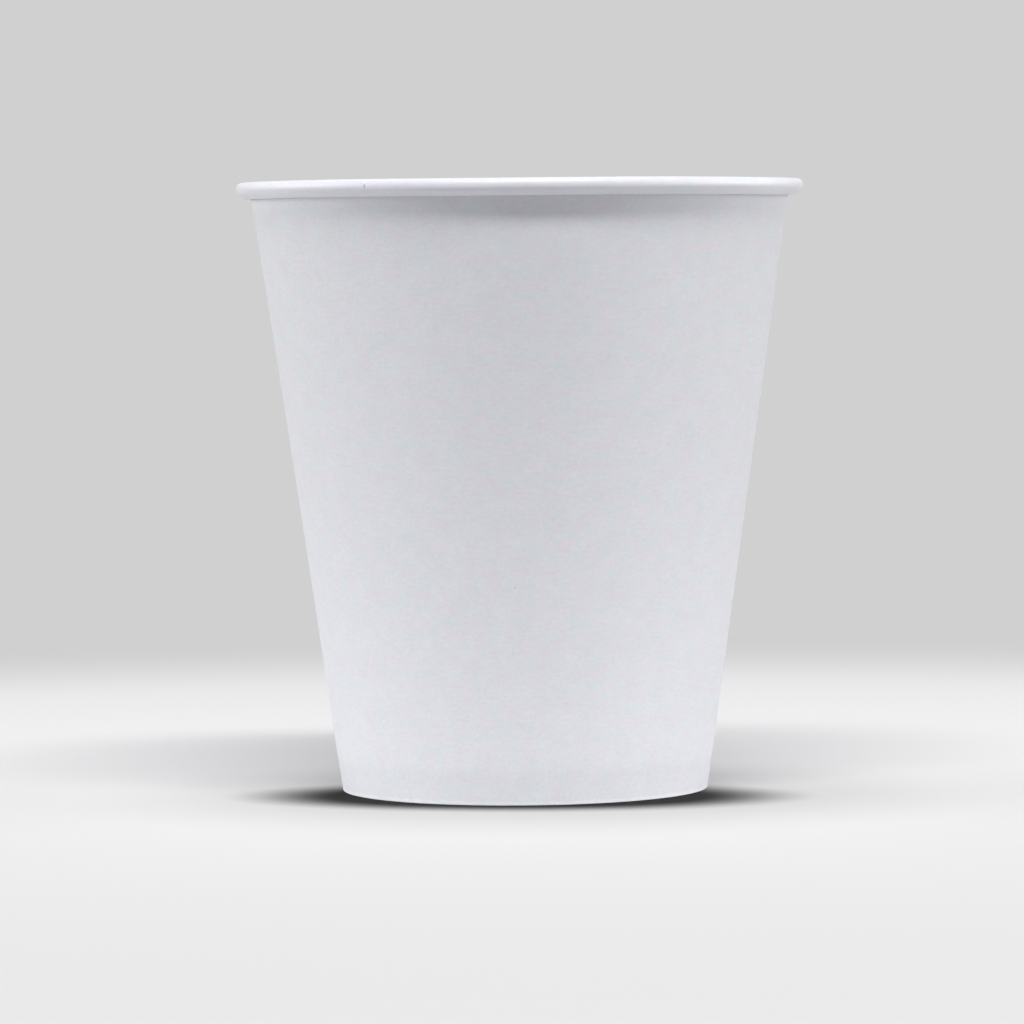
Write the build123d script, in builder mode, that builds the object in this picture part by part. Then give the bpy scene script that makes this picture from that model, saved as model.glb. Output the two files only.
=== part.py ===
"""Single-wall paper drinking cup, in millimetres, +Z up, standing on z = 0 with its axis on Z.

Two pieces of cup board make it. The sidewall is one fan-shaped sheet: it is wrapped into a cone
that laps over itself at a seam up the back, its top edge is curled outwards into the rim, and its
foot is folded in and up as a hem. The bottom is a disc with its edge turned down as a skirt, which
the hem grips against the wall.
"""

import os
from math import asin, atan2, cos, degrees, hypot, radians, sin, sqrt

from build123d import *

# Overall sizes
height = 81.5  # table to the top of the rim
rim_diameter = 76.0  # over the curl
foot_diameter = 49.2  # over the fold at the foot

# Board
wall_board = 0.28  # thickness of the sidewall's sheet
bottom_board = 0.26  # thickness of the bottom's sheet
seal_gap = 0.02  # left on each side of the skirt, inside the hem

# Rim curl: two round shoulders with a short flat between them, and an underside that slants to the wall
curl_radius = 0.93  # outside of the shoulders
curl_flat = 0.32  # width of the flat on top
curl_slant = 30.0  # fall of the underside towards the wall, in degrees
tuck_radius = 0.36  # in mid-board, where the edge turns up inside the curl
tuck_angle = 100.0  # how far the edge turns up
tuck_gap = 0.04  # between the tucked edge and the wall

# Foot and bottom
foot_flat = 0.5  # width of the ring that the fold is pressed flat to
hem_height = 3.6  # top edge of the hem above the table
bottom_height = 4.6  # drinking side of the bottom above the table
bottom_bend = 0.6  # radius in mid-board where the disc turns down into its skirt

# Side seam
seam_angle = 90.0  # where the inner layer's edge stands, counted from +X
lap_width = 6.0  # overlap of the two layers, measured at the rim
lap_rise = 0.2  # how far the pressed outer layer stands off the inner one
ramp_width = 2.4  # length, at the rim, over which the sheet climbs on to its own edge

# Centres of the fold and of the curl's shoulders in the (radius, height) half-plane
curl_mid = curl_radius - wall_board / 2
skirt_slot = bottom_board + 2 * seal_gap
fold_mid = (skirt_slot + wall_board) / 2
fold_radius = fold_mid + wall_board / 2
outer_shoulder = Vector(rim_diameter / 2 - curl_radius, height - curl_radius)
inner_shoulder = outer_shoulder - Vector(curl_flat, 0)
fold_centre = Vector(foot_diameter / 2 - fold_radius, sqrt(fold_radius**2 - (foot_flat / 2) ** 2))

# The wall runs straight from the outside of the fold to the inside of the curl, tangent to both
rise = inner_shoulder - fold_centre
lean = atan2(rise.X, rise.Y) - asin((fold_mid + curl_mid) / hypot(rise.X, rise.Y))
up_wall = Vector(sin(lean), cos(lean))
out_of_wall = Vector(cos(lean), -sin(lean))
outward = -degrees(lean)
inward = outward + 180

# The curl's underside runs to where the tucked edge comes as near to the wall as the gap allows
under_normal = Vector(sin(radians(curl_slant)), -cos(radians(curl_slant)))
under_run = Vector(-cos(radians(curl_slant)), -sin(radians(curl_slant)))
tuck_to_wall = inner_shoulder.dot(out_of_wall) - curl_mid + wall_board + tuck_gap + tuck_radius
under_start = outer_shoulder + under_normal * (curl_mid - tuck_radius)
under_length = (tuck_to_wall - under_start.dot(out_of_wall)) / under_run.dot(out_of_wall)
tuck_centre = under_start + under_run * under_length
hem_length = (hem_height - fold_centre.Y) / cos(lean)

lap_angle = degrees(lap_width / (rim_diameter / 2))
ramp_angle = degrees(ramp_width / (rim_diameter / 2))


def half_plane(angle):
    """The plane through the cup's axis on the side at that angle, x outwards and y up."""
    turn = radians(angle)
    return Plane((0, 0, 0), x_dir=(cos(turn), sin(turn), 0), z_dir=(sin(turn), -cos(turn), 0))


def sheet_section(angle, stand_off):
    """Section of the sidewall's sheet at that angle, from hem to tucked edge, moved outwards by stand_off."""
    fold_turn = fold_mid + stand_off
    curl_turn = curl_mid - stand_off
    tuck_turn = tuck_radius - stand_off
    with BuildSketch(half_plane(angle)) as section:
        with BuildLine():
            hem_foot = fold_centre - out_of_wall * fold_turn
            Line(hem_foot + up_wall * hem_length, hem_foot)
            CenterArc(fold_centre, fold_turn, inward, 180)
            Line(fold_centre + out_of_wall * fold_turn, inner_shoulder - out_of_wall * curl_turn)
            CenterArc(inner_shoulder, curl_turn, inward, 90 - inward)
            Line(inner_shoulder + Vector(0, curl_turn), outer_shoulder + Vector(0, curl_turn))
            CenterArc(outer_shoulder, curl_turn, 90, curl_slant - 180)
            Line(outer_shoulder + under_normal * curl_turn, tuck_centre + under_normal * tuck_turn)
            CenterArc(tuck_centre, tuck_turn, curl_slant - 90, -tuck_angle)
        trace(line_width=wall_board)
    return section.sketch


# Sidewall: the sheet goes round once, climbs on to its own edge and laps over it
first_layer = sheet_section(seam_angle, 0)
ramp_foot = sheet_section(seam_angle - ramp_angle, 0)
second_layer = sheet_section(seam_angle, lap_rise)
with BuildPart() as sidewall:
    revolve(first_layer, axis=Axis.Z, revolution_arc=360 - ramp_angle)
    loft([ramp_foot.face(), second_layer.face()], ruled=True)
    revolve(second_layer, axis=Axis.Z, revolution_arc=lap_angle)
    split(bisect_by=Plane.XY, keep=Keep.TOP)

# Bottom: a flat disc whose skirt goes down inside the hem, along the wall
disc_mid = bottom_height - bottom_board / 2
with BuildPart() as bottom:
    with BuildSketch(Plane.XZ):
        with BuildLine():
            corner = fold_centre + up_wall * ((disc_mid - fold_centre.Y) / cos(lean))
            FilletPolyline((0, disc_mid), corner, fold_centre, radius=bottom_bend)
        trace(line_width=bottom_board)
    revolve(axis=Axis.Z)

sidewall.part.label = "sidewall"
bottom.part.label = "bottom"

os.makedirs("parts", exist_ok=True)
export_step(sidewall.part, "parts/sidewall.step")
export_step(bottom.part, "parts/bottom.step")
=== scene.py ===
"""Looks of the paper cup: its two pieces of board, a pale floor, soft studio light and the camera.

Metres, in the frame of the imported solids: +Z up, the foot on z = 0, the axis on Z. The front faces -Y,
and the side seam is up the back.
"""

from math import asin, atan2, cos, degrees, hypot, pi, radians, sin, sqrt

import bpy
import numpy as np
from mathutils import Matrix


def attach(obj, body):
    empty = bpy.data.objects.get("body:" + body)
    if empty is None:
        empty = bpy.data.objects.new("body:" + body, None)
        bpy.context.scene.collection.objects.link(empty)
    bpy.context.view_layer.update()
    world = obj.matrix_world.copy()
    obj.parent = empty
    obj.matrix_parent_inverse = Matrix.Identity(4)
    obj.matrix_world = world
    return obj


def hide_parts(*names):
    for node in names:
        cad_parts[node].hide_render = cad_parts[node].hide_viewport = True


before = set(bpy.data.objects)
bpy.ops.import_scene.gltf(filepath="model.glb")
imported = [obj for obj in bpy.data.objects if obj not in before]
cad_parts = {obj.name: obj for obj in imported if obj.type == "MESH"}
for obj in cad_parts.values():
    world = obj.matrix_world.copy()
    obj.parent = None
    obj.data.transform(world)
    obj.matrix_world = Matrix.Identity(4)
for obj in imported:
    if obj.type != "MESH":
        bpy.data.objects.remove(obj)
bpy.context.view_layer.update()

MM = 0.001

# Sizes of the two sheets, as in the solids, with angles in degrees
height = 81.5 * MM
rim_radius = 38.0 * MM
foot_radius = 24.6 * MM
wall_board = 0.28 * MM
bottom_board = 0.26 * MM
seal_gap = 0.02 * MM
curl_radius = 0.93 * MM
curl_flat = 0.32 * MM
curl_slant = 30.0
tuck_radius = 0.36 * MM
tuck_angle = 100.0
tuck_gap = 0.04 * MM
foot_flat = 0.5 * MM
hem_height = 3.6 * MM
bottom_height = 4.6 * MM
bottom_bend = 0.6 * MM
seam_angle = 90.0
lap_rise = 0.2 * MM
lap_width = 6.0 * MM
lap_ramp = 2.4 * MM
lap_angle = degrees(lap_width / rim_radius)
ramp_angle = degrees(lap_ramp / rim_radius)

# Unevenness of the wall, which the solids leave out
waist = 0.10 * MM
wall_waves = 0.05 * MM
waves_low = (5 * MM, 16 * MM)
waves_high = (height - 12 * MM, height - 3 * MM)
seal_press = 0.05 * MM
seal_top = 5.2 * MM
seal_ramp = 1.3 * MM

# Each kind of wave in the wall: how many go round, phase, rise for a radian of slant, share of the size
wave_kinds = ((3, 0.7, 30 * MM, 1.0), (7, -1.1, -17 * MM, 0.6))

# Unevenness of the rim, the hem, the fold and the foot of the lap
rim_lift = 0.065 * MM
rim_tilt = 0.075 * MM
rim_tilt_angle = 225.0
rim_ripple = 0.02 * MM
rim_ripple_count = 5
rim_ripple_phase = 0.6
rim_run = (height - 8 * MM, height - 1 * MM)
rib_depth = 0.05 * MM
rib_count = 120
rib_foot = (0.9 * MM, 1.3 * MM)
rib_head = (hem_height - 0.7 * MM, hem_height - 0.3 * MM)
fold_press = 0.08 * MM
lap_foot_lift = 0.05 * MM
lap_lining_lift = 0.045 * MM

# Unevenness of the bottom's disc, with its places as shares of the foot's radius
disc_sag = 0.12 * MM
sag_reach = 0.93
disc_waves = 0.02 * MM
disc_wave_count = 3
disc_wave_slant = 5
disc_wave_start = 0.2
disc_wave_end = (0.6, 0.9)
disc_ring = 0.04 * MM
ring_place = 0.88
ring_width = 0.02

# A pinched crease on the curl, left of the front
crease_angle = 238.3
crease_depth = 0.12 * MM
crease_half_width = 0.13 * MM
crease_low = height - 1.0 * MM
crease_high = height - 0.32 * MM
crease_fade = 0.3 * MM
crease_reach = 2.5 * crease_half_width
crease_clearance = 1.2

# Mesh density: columns round the cup, steps along a section, and the angle at which an edge is crisp
turn_columns = 480
crease_columns = 8
lap_columns = 10
bottom_columns = 240
hem_steps = 8
fold_steps = 14
seal_steps = 9
wall_steps = 20
inner_curl_steps = 9
crown_steps = 2
outer_curl_steps = 16
under_steps = 4
tuck_steps = 8
disc_steps = 40
bend_steps = 8
skirt_steps = 6
crisp_angle = 50.0

# Fields of the bake map for the faces and cut edges of a sheet and of a disc: left, low, right, high
sheet_fields = [(0, 0, 1, 0.47), (0, 0.48, 1, 0.95), (0, 0.955, 1, 0.965), (0, 0.97, 1, 0.98)]
sheet_fields += [(0, 0.985, 0.49, 0.995), (0.5, 0.985, 0.99, 0.995)]
disc_fields = [(0, 0, 0.48, 0.48), (0.5, 0, 0.98, 0.48), (0, 0.5, 0.48, 0.98)]

# Section of the sidewall: centres of its bends and the wall's slope, in (radius, height)
curl_mid = curl_radius - wall_board / 2
fold_mid = (bottom_board + wall_board) / 2 + seal_gap
fold_radius = fold_mid + wall_board / 2
outer_shoulder = np.array([rim_radius - curl_radius, height - curl_radius])
inner_shoulder = outer_shoulder - [curl_flat, 0]
fold_centre = np.array([foot_radius - fold_radius, sqrt(fold_radius**2 - (foot_flat / 2) ** 2)])
rise = inner_shoulder - fold_centre
lean = atan2(*rise) - asin((fold_mid + curl_mid) / hypot(*rise))
up_wall = np.array([sin(lean), cos(lean)])
out_of_wall = np.array([cos(lean), -sin(lean)])
inward = 180 - degrees(lean)
under_normal = np.array([sin(radians(curl_slant)), -cos(radians(curl_slant))])
under_run = np.array([-cos(radians(curl_slant)), -sin(radians(curl_slant))])
tuck_to_wall = inner_shoulder @ out_of_wall - curl_mid + wall_board + tuck_gap + tuck_radius
under_start = outer_shoulder + under_normal * (curl_mid - tuck_radius)
under_length = (tuck_to_wall - under_start @ out_of_wall) / (under_run @ out_of_wall)
tuck_centre = under_start + under_run * under_length


def run(start, end, steps):
    """Points along a straight run of a sheet's section, with the normals of its outside face."""
    start, end = np.array(start), np.array(end)
    along = (end - start) / np.linalg.norm(end - start)
    points = start + np.linspace(0, 1, steps + 1)[:, None] * (end - start)
    return points, np.tile([along[1], -along[0]], (steps + 1, 1))


def bend(centre, radius, first, sweep, steps):
    """Points round a bend of a sheet's section, with the normals of its outside face."""
    angles = np.radians(first + np.linspace(0, 1, steps + 1) * sweep)
    spokes = np.stack([np.cos(angles), np.sin(angles)], 1)
    return np.array(centre) + radius * spokes, spokes * np.sign(sweep)


def joined(*stretches):
    """One path from stretches that follow on from each other, with the shared end points kept once."""
    points = [p if i == 0 else p[1:] for i, (p, _) in enumerate(stretches)]
    normals = [n if i == 0 else n[1:] for i, (_, n) in enumerate(stretches)]
    return np.concatenate(points), np.concatenate(normals)


def sidewall_section():
    """The sidewall's mid-line, from the hem's edge round the fold, up the wall and through the curl."""
    hem_foot = fold_centre - out_of_wall * fold_mid
    hem_length = (hem_height - fold_centre[1]) / cos(lean)
    wall_foot = fold_centre + out_of_wall * fold_mid
    wall_sealed = wall_foot + up_wall * seal_top
    wall_top = inner_shoulder - out_of_wall * curl_mid
    crown = np.array([0, curl_mid])
    under_top = outer_shoulder + under_normal * curl_mid
    under_end = tuck_centre + under_normal * tuck_radius
    return joined(
        run(hem_foot + up_wall * hem_length, hem_foot, hem_steps),
        bend(fold_centre, fold_mid, inward, 180, fold_steps),
        run(wall_foot, wall_sealed, seal_steps),
        run(wall_sealed, wall_top, wall_steps),
        bend(inner_shoulder, curl_mid, inward, 90 - inward, inner_curl_steps),
        run(inner_shoulder + crown, outer_shoulder + crown, crown_steps),
        bend(outer_shoulder, curl_mid, 90, curl_slant - 180, outer_curl_steps),
        run(under_top, under_end, under_steps),
        bend(tuck_centre, tuck_radius, curl_slant - 90, -tuck_angle, tuck_steps),
    )


def bottom_section():
    """The bottom's mid-line, from the cup's axis out to the bend and down its skirt."""
    disc_mid = bottom_height - bottom_board / 2
    corner = fold_centre + up_wall * ((disc_mid - fold_centre[1]) / cos(lean))
    turn = 90 - degrees(lean)
    setback = bottom_bend * np.tan(radians(turn / 2))
    bend_centre = corner - [setback, bottom_bend]
    return joined(
        run((0, disc_mid), (corner[0] - setback, disc_mid), disc_steps),
        bend(bend_centre, bottom_bend, 90, -turn, bend_steps),
        run(corner - up_wall * setback, fold_centre, skirt_steps),
    )


def smooth(low, high, value):
    """0 below low, 1 above high and a slope with soft ends between."""
    t = np.clip((value - low) / (high - low), 0, 1)
    return t * t * (3 - 2 * t)


def wall_stray(angle, z):
    """How far the wall strays outwards: a slight waist, slow waves and the band pressed by the seal."""
    free = smooth(*waves_low, z) * (1 - smooth(*waves_high, z))
    slow = 0
    for count, phase, pitch, share in wave_kinds:
        slow = slow + share * np.sin(count * angle + phase + z / pitch)
    pressed = 1 - smooth(seal_top - seal_ramp, seal_top, z)
    return free * (wall_waves * slow - waist * np.sin(pi * z / height)) - seal_press * pressed


def rim_sway(angle):
    """How far the rim rises and falls on its way round."""
    tilt = rim_tilt * np.cos(angle - radians(rim_tilt_angle))
    return rim_lift + tilt + rim_ripple * np.sin(rim_ripple_count * angle + rim_ripple_phase)


def hem_ribs(angle, z):
    """Depth of the fine upright ribs that the crimping roller leaves on the hem's face in the foot."""
    reach = smooth(*rib_foot, z) * (1 - smooth(*rib_head, z))
    return rib_depth * reach * (1 + np.cos(rib_count * angle)) / 2


def curl_crease(angle, z):
    """Depth of the crease pinched into the curl's outer shoulder."""
    aside = (angle - radians(crease_angle)) * rim_radius / crease_half_width
    above = smooth(crease_low, crease_low + crease_fade, z)
    below = 1 - smooth(crease_high, crease_high + crease_fade, z)
    return crease_depth * above * below * np.exp(-(aside**2))


def revolved(points, angles):
    """The points of a section, one row for each angle, turned to that angle about the axis."""
    r, z = points[..., 0], points[..., 1]
    return np.stack([r * np.cos(angles), r * np.sin(angles), z], -1)


def cells(grid):
    """The four corners of every cell of a grid, whether it holds vertex numbers or map points."""
    corners = np.stack([grid[:-1, :-1], grid[1:, :-1], grid[1:, 1:], grid[:-1, 1:]], 2)
    return corners.reshape(-1, *corners.shape[2:])


def sheet_parts(outside, inside, closed, pole):
    """The cells of a sheet's two faces and of its cut edges, from grids over its outside and inside."""
    parts = [cells(outside), cells(inside)[:, ::-1], cells(np.stack([outside[:, -1], inside[:, -1]], 1))]
    if not pole:
        parts.append(cells(np.stack([inside[:, 0], outside[:, 0]], 1)))
    if not closed:
        parts.append(cells(np.stack([outside[0], inside[0]], 1)))
        parts.append(cells(np.stack([inside[-1], outside[-1]], 1)))
    return parts


def bake_layout(maps, fields):
    """The parts of a sheet's map, each fitted into a field of its own in the unit square."""
    laid = []
    for part, (left, low, right, high) in zip(maps, fields):
        corner = part.min((0, 1))
        span = part.max((0, 1)) - corner
        laid.append((part - corner) / span * [right - left, high - low] + [left, low])
    return np.concatenate(laid)


def mark_sharp(mesh, sizes, limit):
    """Marks the edges whose faces meet at more than that angle, so that cut edges stay crisp."""
    normals = np.zeros(len(mesh.polygons) * 3, np.float32)
    mesh.polygons.foreach_get("normal", normals)
    normals = normals.reshape(-1, 3)
    edge_of_loop = np.zeros(len(mesh.loops), np.int32)
    mesh.loops.foreach_get("edge_index", edge_of_loop)
    face_of_loop = np.repeat(np.arange(len(mesh.polygons)), sizes)
    order = np.argsort(edge_of_loop, kind="stable")
    first, second = face_of_loop[order[0::2]], face_of_loop[order[1::2]]
    turned = np.einsum("ij,ij->i", normals[first], normals[second]) < cos(limit)
    sharp = mesh.attributes.new("sharp_edge", "BOOLEAN", "EDGE")
    values = np.zeros(len(mesh.edges), bool)
    values[edge_of_loop[order[0::2]]] = turned
    sharp.data.foreach_set("value", values)


def sheet_mesh(name, outside, inside, flat, fields, closed, pole):
    """A sheet as one closed mesh, from grids of its outside and inside points, columns by rows.

    Its faces get slot 0 outside, 1 inside and 2 on the cut edges. The map "sheet" holds places on the
    flat sheet in millimetres, and the map "OFBake" lays all faces out side by side. A pole is a first
    row that is one point, where the faces are triangles.
    """
    columns, rows = outside.shape[:2]
    vertices = np.concatenate([outside.reshape(-1, 3), inside.reshape(-1, 3)])
    front = np.arange(columns * rows).reshape(columns, rows)
    if pole:
        front[:, 0] = front[0, 0]
    if closed:
        front = np.concatenate([front, front[:1]])
    parts = sheet_parts(front, front + columns * rows, closed, pole)
    # The inside is mapped a board's thickness aside, so that the cut edges have a width on the map
    maps = sheet_parts(flat, flat + wall_board / MM, closed, pole)
    faces = np.concatenate(parts)
    kept = faces != np.roll(faces, 1, axis=1)
    slots = np.repeat([0, 1, 2], [len(parts[0]), len(parts[1]), sum(len(p) for p in parts[2:])])
    mesh = bpy.data.meshes.new(name)
    mesh.from_pydata(vertices.tolist(), [], [face[keep].tolist() for face, keep in zip(faces, kept)])
    mesh.polygons.foreach_set("material_index", slots.astype(np.int32))
    mesh.polygons.foreach_set("use_smooth", np.ones(len(faces), bool))
    for title, points in (("sheet", np.concatenate(maps)), ("OFBake", bake_layout(maps, fields))):
        layer = mesh.uv_layers.new(name=title)
        layer.data.foreach_set("uv", points[kept].astype(np.float32).ravel())
    mesh.update()
    mark_sharp(mesh, kept.sum(1), radians(crisp_angle))
    obj = bpy.data.objects.new(name, mesh)
    bpy.context.scene.collection.objects.link(obj)
    return obj


def path_length(points):
    """Length along a section's mid-line at each of its points, in millimetres."""
    steps = np.linalg.norm(np.diff(points, axis=0), axis=1)
    return np.concatenate([[0], np.cumsum(steps)]) / MM


def sidewall_turns():
    """Angles of the sidewall's columns, counted from the seam, finer at the lap and at the crease."""
    start = np.linspace(0, lap_angle, lap_columns + 1)
    once = np.linspace(0, 360 - ramp_angle, turn_columns + 1)
    once = np.concatenate([start, once[once > lap_angle + 360 / turn_columns / 2]])
    middle = crease_angle - seam_angle
    reach = degrees(crease_reach / rim_radius)
    crease = middle + np.linspace(-reach, reach, crease_columns + 1)
    once = np.sort(np.concatenate([once[abs(once - middle) > reach * crease_clearance], crease]))
    climb = np.linspace(360 - ramp_angle, 360, lap_columns + 1)[1:]
    lap = np.linspace(360, 360 + lap_angle, lap_columns + 1)[1:]
    return np.concatenate([once, climb, lap])


def make_sidewall():
    """The rolled sheet: once round from its inner edge, up over that edge, and on to the end of the lap."""
    mid, normal = sidewall_section()
    turned = sidewall_turns()[:, None]
    angle = np.radians(seam_angle + turned)

    # Where the sheet laps, each layer is pressed thinner by half of what the lap is short of a board
    pressed = (wall_board - lap_rise) / 2
    over = smooth(360 - ramp_angle, 360, turned)
    under = 1 - smooth(lap_angle, lap_angle + ramp_angle, turned)

    # The unevenness of each stretch of the section
    z = mid[None, :, 1]
    place = np.arange(len(mid))
    outer_curl = hem_steps + fold_steps + seal_steps + wall_steps + inner_curl_steps + crown_steps
    stray = wall_stray(angle, z) * (place > hem_steps + fold_steps / 2)
    ribs = hem_ribs(angle, z) * (place <= hem_steps)
    outer_half = np.clip((place - hem_steps) / fold_steps * 2 - 1, 0, 1)
    corner = fold_press * np.sin(pi * outer_half) ** 2
    crease = curl_crease(angle, z) * (place > outer_curl)
    lift = rim_sway(angle) * smooth(*rim_run, z)

    outside = lap_rise * over + wall_board / 2 - pressed * under + stray - ribs + crease + corner
    inside = lap_rise * over - wall_board / 2 + pressed * over + stray + crease
    grids = []
    for offset, lowest in ((outside, lap_foot_lift * under), (inside, lap_lining_lift * over)):
        points = mid + normal * offset[..., None]
        points[..., 1] = np.maximum(points[..., 1] + lift, lowest)
        grids.append(revolved(points, angle))
    along = np.broadcast_to(np.radians(turned) * (rim_radius + foot_radius) / 2 / MM, grids[0].shape[:2])
    across = np.broadcast_to(path_length(mid), along.shape)
    flat = np.stack([along, across], -1)
    return sheet_mesh("sidewall_board", *grids, flat, sheet_fields, closed=False, pole=False)


def make_bottom():
    """The bottom's disc and skirt, with a slight sag in the disc and a pressed ring near its bend."""
    mid, normal = bottom_section()
    angle = np.linspace(0, 2 * pi, bottom_columns, endpoint=False)[:, None]
    span = mid[None, :, 0] / foot_radius
    on_disc = mid[None, :, 1] > bottom_height - bottom_board
    ring = np.exp(-(((span - ring_place) / ring_width) ** 2)) * on_disc
    waves = np.sin(disc_wave_count * angle + disc_wave_slant * span)
    waves = waves * (1 - smooth(*disc_wave_end, span)) * smooth(0, disc_wave_start, span)
    sag = disc_waves * waves - disc_sag * (1 - smooth(0, sag_reach, span)) - disc_ring * ring
    grids = []
    for offset in (-bottom_board / 2, bottom_board / 2):
        points = np.broadcast_to(mid - normal * offset, (bottom_columns,) + mid.shape).copy()
        points[..., 1] += sag
        grids.append(revolved(points, angle))
    round_again = np.concatenate([angle, angle[:1] + 2 * pi])
    reach = path_length(mid)[None, :]
    flat = np.stack([reach * np.cos(round_again), reach * np.sin(round_again)], -1)
    return sheet_mesh("bottom_board", *grids, flat, disc_fields, closed=True, pole=True)


sidewall = make_sidewall()
bottom = make_bottom()
for piece, node, slot in ((sidewall, "sidewall", "cup_board"), (bottom, "bottom", "bottom_board")):
    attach(piece, "root")
    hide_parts(node)

# Colours of the board's faces and cut edges
board_white = (0.834, 0.837, 0.844)
film_white = (0.790, 0.790, 0.818)
edge_white = (0.770, 0.768, 0.775)

# Factors on the board's colour
tone_dark = 0.83
tone_light = 1.17
rose_tint = (1.0, 0.968, 1.0)
cyan_tint = (0.950, 1.0, 1.0)
speck_shade = (0.72, 0.72, 0.76)
# Painted shade on the wall's foot, where the bottom and the hem lie behind it
backed_painted_shade = (0.962, 0.964, 0.967)
# Painted light on the edge of the fold
fold_painted_light = (1.10, 1.10, 1.10)
# Painted light on the curl's front and underside, below its crown
curl_painted_light = (1.20, 1.20, 1.20)
# Painted shade in the pinch of the crease on the curl
crease_painted_shade = (0.45, 0.44, 0.46)

# Pattern of the board's faces: features a millimetre, stretches, and shares in the tone and the relief
noise_roughness = 0.6
cloud_scale = 0.30
cloud_share = 0.26
fibre_scale = 1.0
fibre_stretch = (0.7, 2.6, 1)
fibre_share = 0.30
fibre_relief = 0.4
grain_scale = 2.0
grain_share = 0.44
grain_relief = 0.6
grain_run = (0.2, 0.8)
tint_scale = 0.42
tint_stretch = (1, 1.4, 1)
tint_run = (0.3, 0.7)
speck_scale = 0.35
speck_run = (0.025, 0.05)
speck_share = 0.006

# Where shade and light are painted on the wall's foot and on the curl
backed_scale = 0.5
backed_wander = 0.8 * MM
backed_run = (bottom_height - 0.7 * MM, bottom_height + 1.0 * MM)
fold_run = (0.7 * MM, 1.0 * MM)
curl_run = (rim_radius - 2.0 * MM, rim_radius - 1.7 * MM)
crown_run = (height - 1.2 * MM, height - 0.4 * MM)
pinch_size = (0.16 * MM, 0.16 * MM, 0.42 * MM)
pinch_run = (0.4, 1.3)

# Gloss of the board's faces, and how light spreads in them
roughness_spread = 0.06
face_gloss = 0.35
film_roughness = 0.3
glow_depth = 0.5 * MM
even_glow = (1, 1, 1)

# Pattern and gloss of the cut edges
layer_scale = 1.0
layer_stretch = (1.5, 14, 1)
layer_share = 0.6
fluff_scale = 5.0
fluff_share = 0.4
fluff_run = (0.2, 0.8)
edge_dark = 0.86
edge_light = 1.1
edge_relief = 0.04 * MM
edge_roughness = (0.95, 0.8)
edge_gloss = 0.2


def add(tree, kind, inputs=None, **settings):
    """A new shader node with its settings, and with values or other nodes' outputs in its inputs."""
    made = tree.nodes.new("ShaderNode" + kind)
    for setting, value in settings.items():
        setattr(made, setting, value)
    for socket, value in (inputs or {}).items():
        if isinstance(value, bpy.types.NodeSocket):
            tree.links.new(value, made.inputs[socket])
        else:
            made.inputs[socket].default_value = value
    return made


def noise(tree, place, scale, detail, stretch=(1, 1, 1)):
    """Noise over a place, with so many features a unit, shorter along an axis that is stretched more."""
    fitted = add(tree, "Mapping", {"Vector": place, "Scale": stretch}).outputs[0]
    inputs = {"Vector": fitted, "Scale": scale, "Detail": detail, "Roughness": noise_roughness}
    return add(tree, "TexNoise", inputs).outputs["Fac"]


def maths(tree, operation, first, second=0.0, third=0.0):
    """One step of arithmetic on numbers or outputs."""
    return add(tree, "Math", {0: first, 1: second, 2: third}, operation=operation).outputs[0]


def vectors(tree, operation, first, second=(0, 0, 0)):
    """One step of arithmetic on vectors or outputs, as the node's vector and number outputs."""
    return add(tree, "VectorMath", {0: first, 1: second}, operation=operation).outputs


def ramp(tree, value, low, high, at_low=0.0, at_high=1.0):
    """A slope with soft ends from one number at low to another at high, and level beyond them."""
    inputs = {"Value": value, "From Min": low, "From Max": high, "To Min": at_low, "To Max": at_high}
    return add(tree, "MapRange", inputs, interpolation_type="SMOOTHSTEP").outputs["Result"]


def blend(tree, share, first, second, kind="MIX"):
    """A colour between two colours, or one laid over the other in another way."""
    first_socket, second_socket, result_socket = 6, 7, 2
    made = add(tree, "Mix", {0: share}, data_type="RGBA", blend_type=kind)
    for socket, value in ((first_socket, first), (second_socket, second)):
        if isinstance(value, bpy.types.NodeSocket):
            tree.links.new(value, made.inputs[socket])
        else:
            made.inputs[socket].default_value = (*value, 1)
    return made.outputs[result_socket]


def scaled(colour, factor):
    """A colour made lighter or darker."""
    return tuple(channel * factor for channel in colour)


def patch_radius(tree, place, middle, size):
    """Distance from the middle of a round patch, counted in the patch's sizes along each axis."""
    aside = vectors(tree, "SUBTRACT", place, middle)["Vector"]
    aside = vectors(tree, "DIVIDE", aside, size)["Vector"]
    return vectors(tree, "LENGTH", aside)["Value"]


def new_material(name):
    """An empty material with its Principled shader."""
    material = bpy.data.materials.new(name)
    material.use_nodes = True
    return material, material.node_tree, material.node_tree.nodes["Principled BSDF"]


def specks(tree, sheet):
    """Rare dark fibre specks, about a fifth of a millimetre wide, in a few cells of a loose net."""
    net = add(tree, "TexVoronoi", {"Vector": sheet, "Scale": speck_scale}).outputs
    near = ramp(tree, net["Distance"], *speck_run, 1, 0)
    drawn = add(tree, "SeparateColor", {0: net["Color"]}).outputs[0]
    chosen = maths(tree, "GREATER_THAN", drawn, 1 - speck_share)
    return maths(tree, "MULTIPLY", near, chosen)


def paint_foot_shade_and_light(tree, board, sheet):
    """Painted shade on the wall where the bottom and the hem lie behind it, and painted light on the edge
    of the fold.
    """
    level = add(tree, "SeparateXYZ", {0: add(tree, "TexCoord").outputs["Object"]}).outputs["Z"]
    level = maths(tree, "MULTIPLY_ADD", noise(tree, sheet, backed_scale, detail=2), backed_wander, level)
    board = blend(tree, ramp(tree, level, *backed_run, 1, 0), board, backed_painted_shade, "MULTIPLY")
    return blend(tree, ramp(tree, level, *fold_run, 1, 0), board, fold_painted_light, "MULTIPLY")


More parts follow.
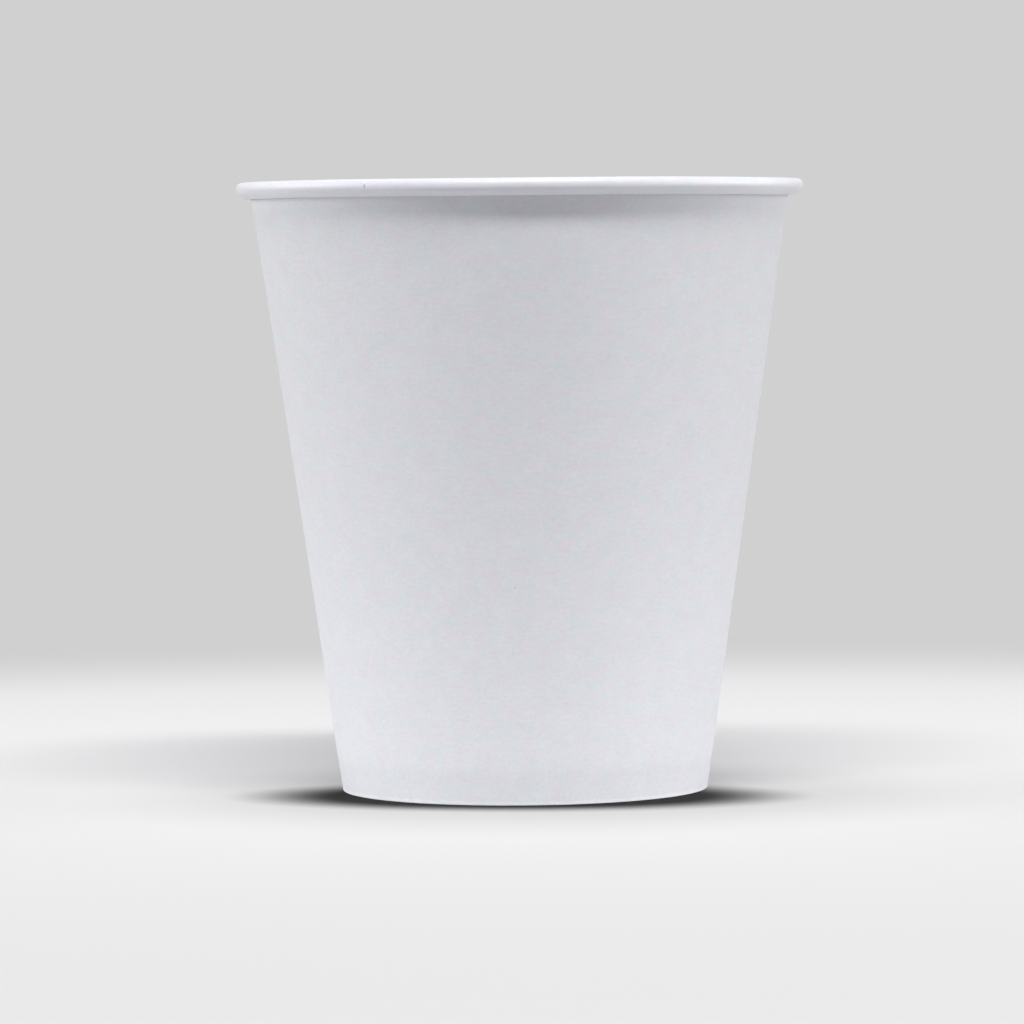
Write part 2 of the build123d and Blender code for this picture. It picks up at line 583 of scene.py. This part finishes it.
def paint_curl_light_and_crease_shade(tree, board):
    """Painted light on the lined face round the outside of the curl below its crown, and painted shade in
    the pinch of the crease.
    """
    place = add(tree, "TexCoord").outputs["Object"]
    level = add(tree, "SeparateXYZ", {0: place}).outputs["Z"]
    flat = vectors(tree, "MULTIPLY", place, (1, 1, 0))["Vector"]
    outer = ramp(tree, vectors(tree, "LENGTH", flat)["Value"], *curl_run)
    below_crown = ramp(tree, level, *crown_run, 1, 0)
    # Painted light on the outside of the curl below its crown
    board = blend(tree, maths(tree, "MULTIPLY", outer, below_crown), board, curl_painted_light, "MULTIPLY")
    turn = radians(crease_angle)
    pinch = (rim_radius * cos(turn), rim_radius * sin(turn), (crease_low + crease_high) / 2)
    # Painted shade in the pinch of the crease
    pinched = ramp(tree, patch_radius(tree, place, pinch, pinch_size), *pinch_run, 1, 0)
    return blend(tree, pinched, board, crease_painted_shade, "MULTIPLY")


def paper_material(name, colour, roughness, coat, relief, glow, painted_light_and_shade=None):
    """Bleached cup board: clouds in the sheet, fibres that lie mostly along it, grain and rare specks, with
    painted light and shade where asked.
    """
    material, tree, shader = new_material(name)
    sheet = add(tree, "UVMap", uv_map="sheet").outputs[0]
    clouds = noise(tree, sheet, cloud_scale, detail=3)
    fibres = noise(tree, sheet, fibre_scale, detail=3, stretch=fibre_stretch)
    grain = noise(tree, sheet, grain_scale, detail=4)
    tone = maths(tree, "MULTIPLY_ADD", clouds, cloud_share, maths(tree, "MULTIPLY", fibres, fibre_share))
    tone = maths(tree, "MULTIPLY_ADD", grain, grain_share, tone)
    board = blend(tree, tone, scaled(colour, tone_dark), scaled(colour, tone_light))
    hue = ramp(tree, noise(tree, sheet, tint_scale, detail=3, stretch=tint_stretch), *tint_run)
    board = blend(tree, 1.0, board, blend(tree, hue, rose_tint, cyan_tint), "MULTIPLY")
    board = blend(tree, specks(tree, sheet), board, speck_shade, "MULTIPLY")
    # Painted shade on the foot's band and painted light on the fold's edge
    if painted_light_and_shade == "foot":
        board = paint_foot_shade_and_light(tree, board, sheet)
    # Painted light round the curl and painted shade in its crease
    if painted_light_and_shade == "curl":
        board = paint_curl_light_and_crease_shade(tree, board)
    rough = ramp(tree, grain, *grain_run, roughness + roughness_spread, roughness - roughness_spread)
    felt = maths(tree, "MULTIPLY", fibres, fibre_relief)
    felt = maths(tree, "MULTIPLY_ADD", grain, grain_relief, felt)
    bump = add(tree, "Bump", {"Strength": 1.0, "Distance": relief, "Height": felt})
    tree.links.new(board, shader.inputs["Base Color"])
    tree.links.new(rough, shader.inputs["Roughness"])
    tree.links.new(bump.outputs[0], shader.inputs["Normal"])
    shader.inputs["Specular IOR Level"].default_value = face_gloss
    shader.inputs["Coat Weight"].default_value = coat
    shader.inputs["Coat Roughness"].default_value = film_roughness
    shader.inputs["Subsurface Weight"].default_value = glow
    shader.inputs["Subsurface Radius"].default_value = even_glow
    shader.inputs["Subsurface Scale"].default_value = glow_depth
    return material


def edge_material(name, colour):
    """The board's raw cut edge: loose fibres in layers that run along it."""
    material, tree, shader = new_material(name)
    sheet = add(tree, "UVMap", uv_map="sheet").outputs[0]
    layers = noise(tree, sheet, layer_scale, detail=4, stretch=layer_stretch)
    fluff = noise(tree, sheet, fluff_scale, detail=3)
    tone = maths(tree, "MULTIPLY_ADD", layers, layer_share, maths(tree, "MULTIPLY", fluff, fluff_share))
    board = blend(tree, tone, scaled(colour, edge_dark), scaled(colour, edge_light))
    bump = add(tree, "Bump", {"Strength": 1.0, "Distance": edge_relief, "Height": tone})
    tree.links.new(board, shader.inputs["Base Color"])
    tree.links.new(ramp(tree, fluff, *fluff_run, *edge_roughness), shader.inputs["Roughness"])
    tree.links.new(bump.outputs[0], shader.inputs["Normal"])
    shader.inputs["Specular IOR Level"].default_value = edge_gloss
    return material


# Finish of each face: its roughness, share of film, depth of relief, share of glow and where light and
# shade are painted on it
wall_outside = {"roughness": 0.66, "coat": 0.0, "relief": 0.012 * MM, "glow": 0.25, "painted_light_and_shade": "foot"}
wall_lined = {"roughness": 0.42, "coat": 0.3, "relief": 0.007 * MM, "glow": 0.25, "painted_light_and_shade": "curl"}
disc_outside = {"roughness": 0.70, "coat": 0.0, "relief": 0.014 * MM, "glow": 0.4}
disc_lined = {"roughness": 0.45, "coat": 0.2, "relief": 0.007 * MM, "glow": 0.4}

for piece, material in (
    (sidewall, paper_material("board_outside", board_white, **wall_outside)),
    (sidewall, paper_material("board_lined", film_white, **wall_lined)),
    (sidewall, edge_material("board_edge", edge_white)),
    (bottom, paper_material("bottom_underside", board_white, **disc_outside)),
    (bottom, paper_material("bottom_lined", film_white, **disc_lined)),
    (bottom, edge_material("bottom_edge", edge_white)),
):
    piece.data.materials.append(material)

# The floor's size, its white from front to back, and where it fades into the backdrop's grey
floor_half_width = 40.0
backdrop_grey = (0.631, 0.631, 0.631, 1)
white_front = 0.63
white_back = 0.80
white_run = (-0.22, 0.15)
floor_tint = (1.0, 1.0, 0.983)
floor_middle = (0, -0.05, 0)
floor_run = (0.215, 0.33)

# The white that sends light back up to the cup, from below the cup outwards
bounce_near = 0.70
bounce_far = 0.25
bounce_run = (0.045, 0.17)

# A painted shadow close to the foot, turned in radians, and a wide faint painted shadow round it
shade_middle = (-1.0 * MM, -12.0 * MM, 0)
shade_size = (32.0 * MM, 17.4 * MM, 1)
shade_turn = 0.118
shade_run = (0.76, 1.28)
shade_level = 0.065
halo_shadow_middle = (2 * MM, -14 * MM, 0)
halo_shadow_size = (66 * MM, 56 * MM, 1)
halo_shadow_turn = 0.0
halo_shadow_run = (0.2, 1.0)
halo_shadow_level = 0.75


def seen_directly(tree):
    """1 on rays from the camera and on gloss and glass rays, and 0 on those that carry light to the cup."""
    path = add(tree, "LightPath").outputs
    mirrored = maths(tree, "MAXIMUM", path["Is Camera Ray"], path["Is Glossy Ray"])
    return maths(tree, "MAXIMUM", mirrored, path["Is Transmission Ray"])


def painted_floor_shadow(tree, place, middle, size, turn, run_out, level):
    """A painted shadow: a factor on the floor's white that is that level inside an ellipse and runs out to
    1 round it.
    """
    inputs = {"Vector": place, "Center": middle, "Angle": turn}
    turned = add(tree, "VectorRotate", inputs, rotation_type="Z_AXIS").outputs[0]
    return ramp(tree, patch_radius(tree, turned, middle, size), *run_out, level, 1)


def floor_material():
    """A pale sweep that keeps the cast shadow near the cup, with painted shadows round the foot, and fades
    further off into the backdrop's grey.
    """
    material, tree, shader = new_material("floor")
    place = add(tree, "NewGeometry").outputs["Position"]
    depth = add(tree, "SeparateXYZ", {0: place}).outputs["Y"]
    # Painted shadows on the floor's white: a dark one close to the foot and a faint halo round it
    shade = painted_floor_shadow(tree, place, shade_middle, shade_size, shade_turn, shade_run, shade_level)
    halo_shadow = painted_floor_shadow(tree, place, halo_shadow_middle, halo_shadow_size, halo_shadow_turn, halo_shadow_run, halo_shadow_level)
    white = ramp(tree, depth, *white_run, white_front, white_back)
    pale = maths(tree, "MULTIPLY", white, maths(tree, "MULTIPLY", shade, halo_shadow))
    pale = blend(tree, 1.0, pale, floor_tint, "MULTIPLY")
    lit = add(tree, "BsdfDiffuse", {"Color": pale}).outputs[0]
    grey = add(tree, "Emission", {"Color": backdrop_grey}).outputs[0]
    faded = ramp(tree, vectors(tree, "DISTANCE", place, floor_middle)["Value"], *floor_run)
    shown = add(tree, "MixShader", {0: faded, 1: lit, 2: grey}).outputs[0]
    off_axis = vectors(tree, "LENGTH", place)["Value"]
    bounce_white = ramp(tree, off_axis, *bounce_run, bounce_near, bounce_far)
    bounce = add(tree, "BsdfDiffuse", {"Color": bounce_white}).outputs[0]
    either = add(tree, "MixShader", {0: seen_directly(tree), 1: bounce, 2: shown})
    tree.links.new(either.outputs[0], tree.nodes["Material Output"].inputs["Surface"])
    tree.nodes.remove(shader)
    return material


def make_floor():
    """A wide flat floor under the foot."""
    mesh = bpy.data.meshes.new("floor")
    corners = [(-floor_half_width, -floor_half_width, 0), (floor_half_width, -floor_half_width, 0)]
    corners += [(floor_half_width, floor_half_width, 0), (-floor_half_width, floor_half_width, 0)]
    mesh.from_pydata(corners, [], [(0, 1, 2, 3)])
    obj = bpy.data.objects.new("floor", mesh)
    bpy.context.scene.collection.objects.link(obj)
    obj.data.materials.append(floor_material())


make_floor()

# Light: the two places that the lamps face, the key lamp's place and the even fill
cup_middle = np.array([0, 0, height / 2])
upper_wall = np.array([0, 0, 70 * MM])
key_turn = radians(7)
key_elevation = radians(58)
key_distance = 0.8
key_reach = key_distance * cos(key_elevation)
key_rise = key_distance * sin(key_elevation)
key_place = upper_wall + [key_reach * sin(key_turn), -key_reach * cos(key_turn), key_rise]
world_fill = (0.241, 0.236, 0.269, 1)


def add_softbox(name, place, target, size, watts):
    """A rectangular lamp at a place, facing a target."""
    data = bpy.data.lights.new(name, "AREA")
    data.shape = "RECTANGLE"
    data.size, data.size_y = size
    data.energy = watts
    lamp = bpy.data.objects.new(name, data)
    lamp.location = place
    aim = Matrix.Identity(3)
    back = np.array(place) - np.array(target)
    back = back / np.linalg.norm(back)
    side = np.cross([0, 0, 1], back)
    side = side / np.linalg.norm(side)
    aim.col[0], aim.col[1], aim.col[2] = side, np.cross(back, side), back
    lamp.rotation_euler = aim.to_euler()
    lamp.visible_camera = False
    bpy.context.scene.collection.objects.link(lamp)


add_softbox("key", place=key_place, target=upper_wall, size=(0.7, 0.13), watts=5.6)
add_softbox("top", place=(0, -0.1, 0.85), target=upper_wall, size=(0.3, 0.3), watts=0.6)
add_softbox("left", place=(-0.92, 0.03, 0.3), target=cup_middle, size=(0.6, 0.5), watts=3.75)
add_softbox("right", place=(0.92, 0.03, 0.3), target=cup_middle, size=(0.6, 0.5), watts=3.05)
add_softbox("left_back", place=(-0.8, 0.45, 0.35), target=cup_middle, size=(0.6, 0.6), watts=1.0)
add_softbox("right_back", place=(0.8, 0.45, 0.35), target=cup_middle, size=(0.6, 0.6), watts=0.9)


def make_world():
    """Even fill light, with the backdrop's grey where the camera or a reflection looks past the floor."""
    world = bpy.data.worlds.new("studio")
    bpy.context.scene.world = world
    world.use_nodes = True
    tree = world.node_tree
    lighting = tree.nodes["Background"]
    lighting.inputs["Color"].default_value = world_fill
    shown = add(tree, "Background", {"Color": backdrop_grey})
    either = add(tree, "MixShader", {0: seen_directly(tree), 1: lighting.outputs[0], 2: shown.outputs[0]})
    tree.links.new(either.outputs[0], tree.nodes["World Output"].inputs["Surface"])


make_world()


def make_camera():
    """The photograph's view: almost level with the rim, from far off, a little rolled."""
    distance = 757.5 * MM
    eye_height = 73.8 * MM
    aside = -1.43 * MM
    pitch = radians(2.771)
    roll = radians(0.565)
    image_width = 1024
    focal_pixels = 5645
    sensor_width = 36.0
    near_clip = 0.01
    data = bpy.data.cameras.new("camera")
    data.sensor_width = sensor_width
    data.lens = focal_pixels * sensor_width / image_width
    data.clip_start = near_clip
    camera = bpy.data.objects.new("camera", data)
    level = np.array([1.0, 0, 0])
    upright = np.array([0, sin(pitch), cos(pitch)])
    backward = np.array([0, -cos(pitch), sin(pitch)])
    aim = Matrix.Identity(3)
    aim.col[0] = level * cos(roll) - upright * sin(roll)
    aim.col[1] = level * sin(roll) + upright * cos(roll)
    aim.col[2] = backward
    camera.location = (aside, -distance, eye_height)
    camera.rotation_euler = aim.to_euler()
    bpy.context.scene.collection.objects.link(camera)
    bpy.context.scene.camera = camera


make_camera()
bpy.context.scene.view_settings.view_transform = "Standard"
